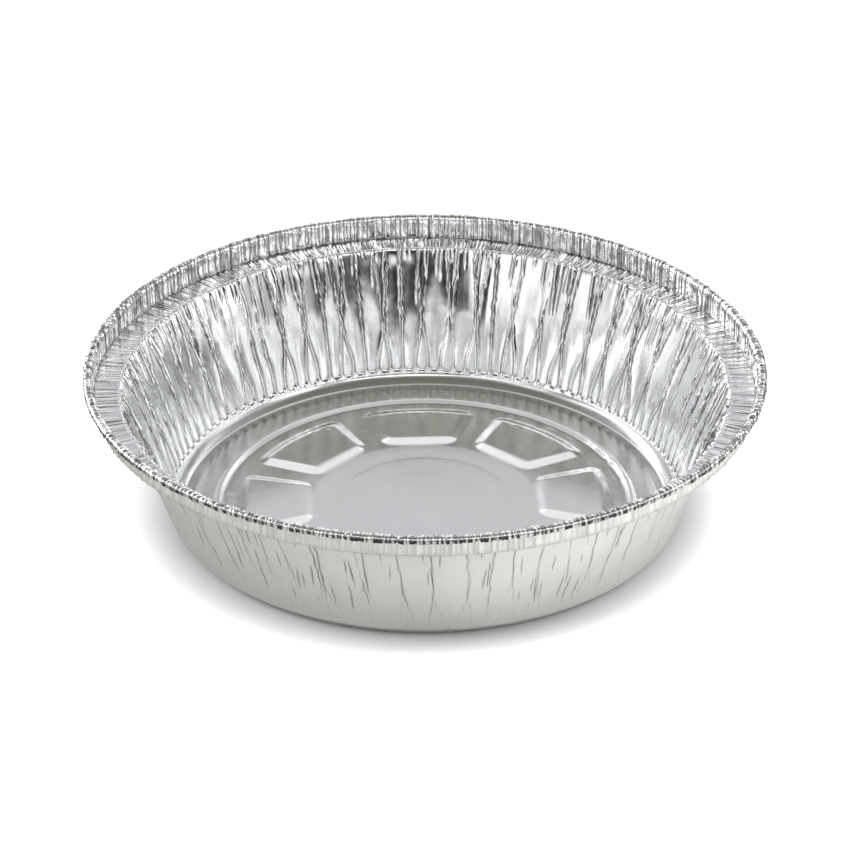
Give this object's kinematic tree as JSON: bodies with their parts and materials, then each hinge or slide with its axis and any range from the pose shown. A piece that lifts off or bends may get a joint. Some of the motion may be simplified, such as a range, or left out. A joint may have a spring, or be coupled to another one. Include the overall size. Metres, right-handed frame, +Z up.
{
  "type": "foil pie tin",
  "caption": "Round disposable foil pie tin with folded sloping wall, flat lid ledge, upright lip, rolled bead and raised panels in the base.",
  "frame": {"origin": "middle of the base, on the surface that the tin stands on", "axes": "+Z up out of the open top, -Y towards the picture's viewer"},
  "size_m": [0.2299, 0.23, 0.0547],
  "materials": {
    "foil": "bright rolled foil, creased by the press"
  },
  "bodies": {
    "root": {"foil_pan": "foil"}
  },
  "joints": []
}
